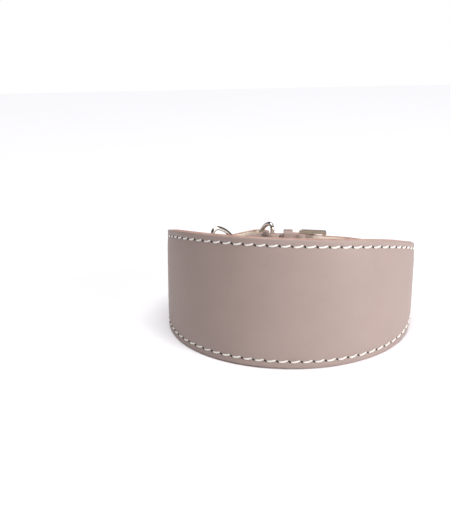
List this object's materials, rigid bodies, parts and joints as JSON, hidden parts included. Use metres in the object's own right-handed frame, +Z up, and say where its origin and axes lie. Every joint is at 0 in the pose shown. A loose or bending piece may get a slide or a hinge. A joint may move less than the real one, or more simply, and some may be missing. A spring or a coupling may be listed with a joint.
{
  "type": "martingale dog collar",
  "caption": "Wide leather martingale collar for a sighthound, with contrast edge stitching, two slide rings, a pull loop with a leash ring, and a buckle closure.",
  "frame": {"origin": "bottom centre of the bounding box, on the surface the collar stands on", "axes": "+Z up; -Y towards the wide throat of the band, +Y towards the buckle and rings; the collar's own axis leans back towards +Y"},
  "size_m": [0.132, 0.1482, 0.0603],
  "materials": {
    "taupe_leather": "smooth fine-grained taupe leather with pinkish tan cut edges",
    "suede_lining": "soft cream suede",
    "foam": "thin felt padding, sealed inside",
    "nickel": "bright nickel plate",
    "thread": "thick waxed off-white thread"
  },
  "bodies": {
    "collar": {"outer_leather": "taupe_leather", "padding": "foam", "lining": "suede_lining", "left_end_tab": "taupe_leather", "chape_strap": "taupe_leather", "billet_strap": "taupe_leather", "buckle_frame": "nickel", "upper_edge_stitching": "thread", "lower_edge_stitching": "thread", "left_tab_stitching": "thread", "billet_stitching": "thread", "chape_stitching": "thread"},
    "left_ring": {"left_slide_ring": "nickel"},
    "right_ring": {"right_slide_ring": "nickel"},
    "loop": {"pull_loop": "taupe_leather", "leash_ring_tab": "taupe_leather", "leash_tab_stitching": "thread"},
    "leash": {"leash_ring": "nickel"},
    "prong": {"buckle_prong": "nickel"},
    "keeper": {"strap_keeper": "taupe_leather"}
  },
  "joints": [
    {"name": "left_ring_swing", "type": "hinge", "parent": "collar", "child": "left_ring", "pos_m": [-0.05413, 0.027, 0.01924], "axis": [0, 0.1148, 0.9934], "range_deg": [-8, 12]},
    {"name": "pull_loop_swing", "type": "hinge", "parent": "left_ring", "child": "loop", "pos_m": [-0.04278, 0.0391, 0.01784], "axis": [0, 0.1148, 0.9934], "range_deg": [-18.5, 12.5]},
    {"name": "right_ring_swing", "type": "hinge", "parent": "collar", "child": "right_ring", "pos_m": [-0.02322, 0.05638, 0.01584], "axis": [0, 0.1148, 0.9934], "range_deg": [-4.5, 3]},
    {"name": "leash_ring_swing", "type": "hinge", "parent": "loop", "child": "leash", "pos_m": [-0.04805, 0.05526, 0.01597], "axis": [0, 0.1148, 0.9934], "range_deg": [-60, 40]},
    {"name": "prong_lift", "type": "hinge", "parent": "collar", "child": "prong", "pos_m": [-0.005, 0.06055, 0.01536], "axis": [0, 0.1148, 0.9934], "range_deg": [0, 8]},
    {"name": "keeper_slide", "type": "hinge", "parent": "collar", "child": "keeper", "pos_m": [0, -0.00531, 0.02297], "axis": [0, 0.1148, 0.9934], "range_deg": [-1.2, 1.2]}
  ],
  "couplings": [
    {"joint": "pull_loop_swing", "follows": "left_ring_swing", "ratio": -1.5},
    {"joint": "right_ring_swing", "follows": "left_ring_swing", "ratio": -0.36}
  ]
}
